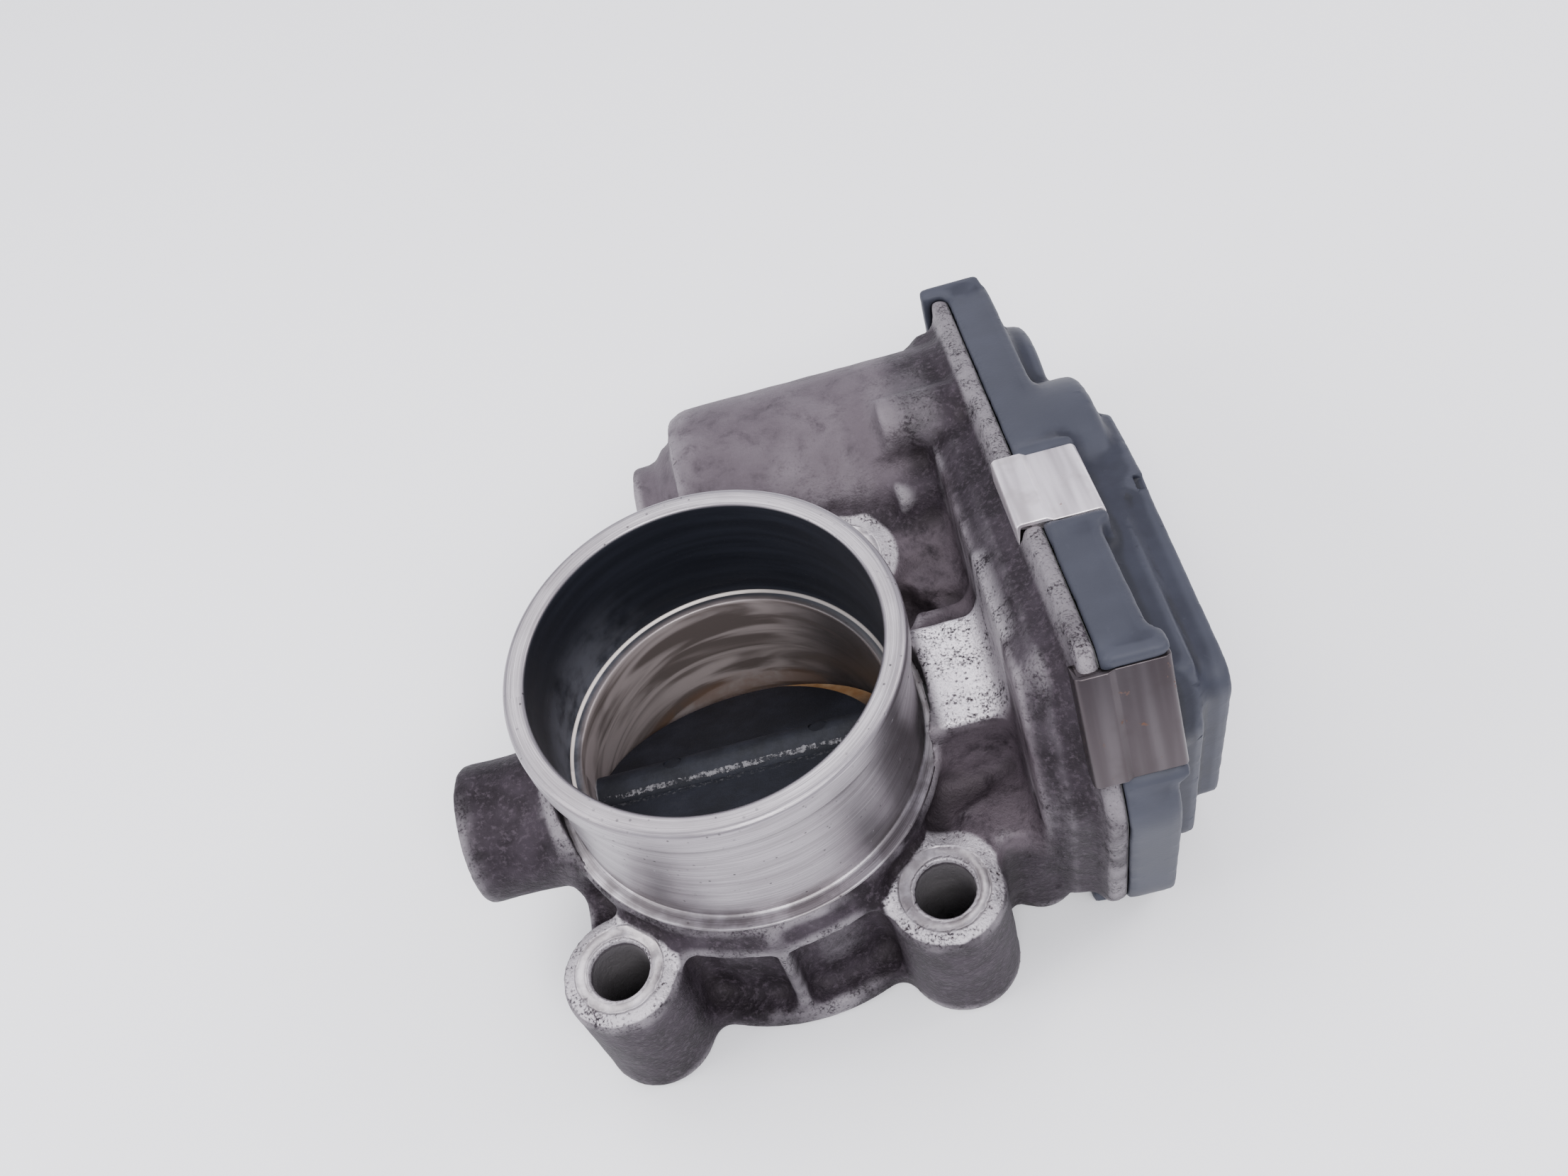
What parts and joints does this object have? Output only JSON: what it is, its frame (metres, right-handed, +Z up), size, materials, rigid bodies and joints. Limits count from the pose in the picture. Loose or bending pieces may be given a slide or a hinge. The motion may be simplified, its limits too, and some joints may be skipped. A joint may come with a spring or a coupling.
{
  "type": "throttle body",
  "caption": "Electronic throttle body: cast housing with a hose inlet, a butterfly plate on a shaft, and a clipped gear cover over the motor drive.",
  "frame": {"origin": "centre of the bore on the flange's sealing face", "axes": "+Z up the bore axis to the hose inlet; +X along the throttle shaft towards the gear cover; +Y towards the motor"},
  "size_m": [0.1166, 0.1224, 0.0665],
  "materials": {
    "cast_aluminium": "as-cast, stained, machined on the seats",
    "machined_steel": "ground",
    "sooty_brass": "covered with dry soot",
    "zinc_steel": "zinc plated",
    "bearing_steel": "ground and polished",
    "spring_steel": "drawn wire",
    "black_rubber": "matt",
    "white_plastic": "moulded acetal",
    "magnet": "moulded ferrite",
    "lamination": "lacquered laminations",
    "brass": "drawn",
    "brown_plastic": "moulded phenolic",
    "black_plastic": "satin moulded",
    "clip_steel": "rolled spring strip, slightly tarnished",
    "green_board": "solder resist"
  },
  "bodies": {
    "root": {"housing": "cast_aluminium", "shaft_bearing_left": "bearing_steel", "shaft_bearing_right": "bearing_steel", "bearing_circlip": "spring_steel", "shaft_seal_left": "black_rubber", "shaft_seal_right": "black_rubber", "shaft_end_plug": "zinc_steel", "return_spring": "spring_steel", "spring_bush": "white_plastic", "idler_pin": "bearing_steel", "motor_can": "zinc_steel", "motor_magnets": "magnet", "motor_brush_card": "brown_plastic", "motor_mount_plate": "zinc_steel", "motor_screws": "zinc_steel", "motor_rear_bush": "brass", "motor_wave_washer": "spring_steel", "stop_screw": "zinc_steel", "gear_cover": "black_plastic", "cover_gasket": "black_rubber", "cover_clip_top": "clip_steel", "cover_clip_front": "clip_steel", "cover_clip_rear": "clip_steel", "sensor_board": "green_board", "connector_pins": "brass"},
    "throttle": {"throttle_shaft": "machined_steel", "throttle_plate": "sooty_brass", "plate_screws": "zinc_steel", "sector_gear": "white_plastic", "sensor_magnet": "magnet"},
    "idler": {"idler_gear": "white_plastic"},
    "rotor": {"motor_armature": "lamination", "motor_shaft": "bearing_steel", "motor_pinion": "brass"}
  },
  "joints": [
    {"name": "throttle_turn", "type": "hinge", "parent": "root", "child": "throttle", "pos_m": [0, 0, 0.026], "axis": [-1, 0, 0], "range_deg": [-25, 59], "stiffness_Nm_per_rad": 0.05},
    {"name": "idler_turn", "type": "hinge", "parent": "root", "child": "idler", "pos_m": [0, 0.0297, 0.02602], "axis": [-1, 0, 0], "range_deg": [-185.38, 79.12]},
    {"name": "rotor_turn", "type": "hinge", "parent": "root", "child": "rotor", "pos_m": [0, 0.05653, 0.02096], "axis": [-1, 0, 0], "range_deg": [-317.84, 748.74]}
  ],
  "couplings": [
    {"joint": "idler_turn", "follows": "throttle_turn", "ratio": -3.125},
    {"joint": "rotor_turn", "follows": "throttle_turn", "ratio": 12.674}
  ]
}
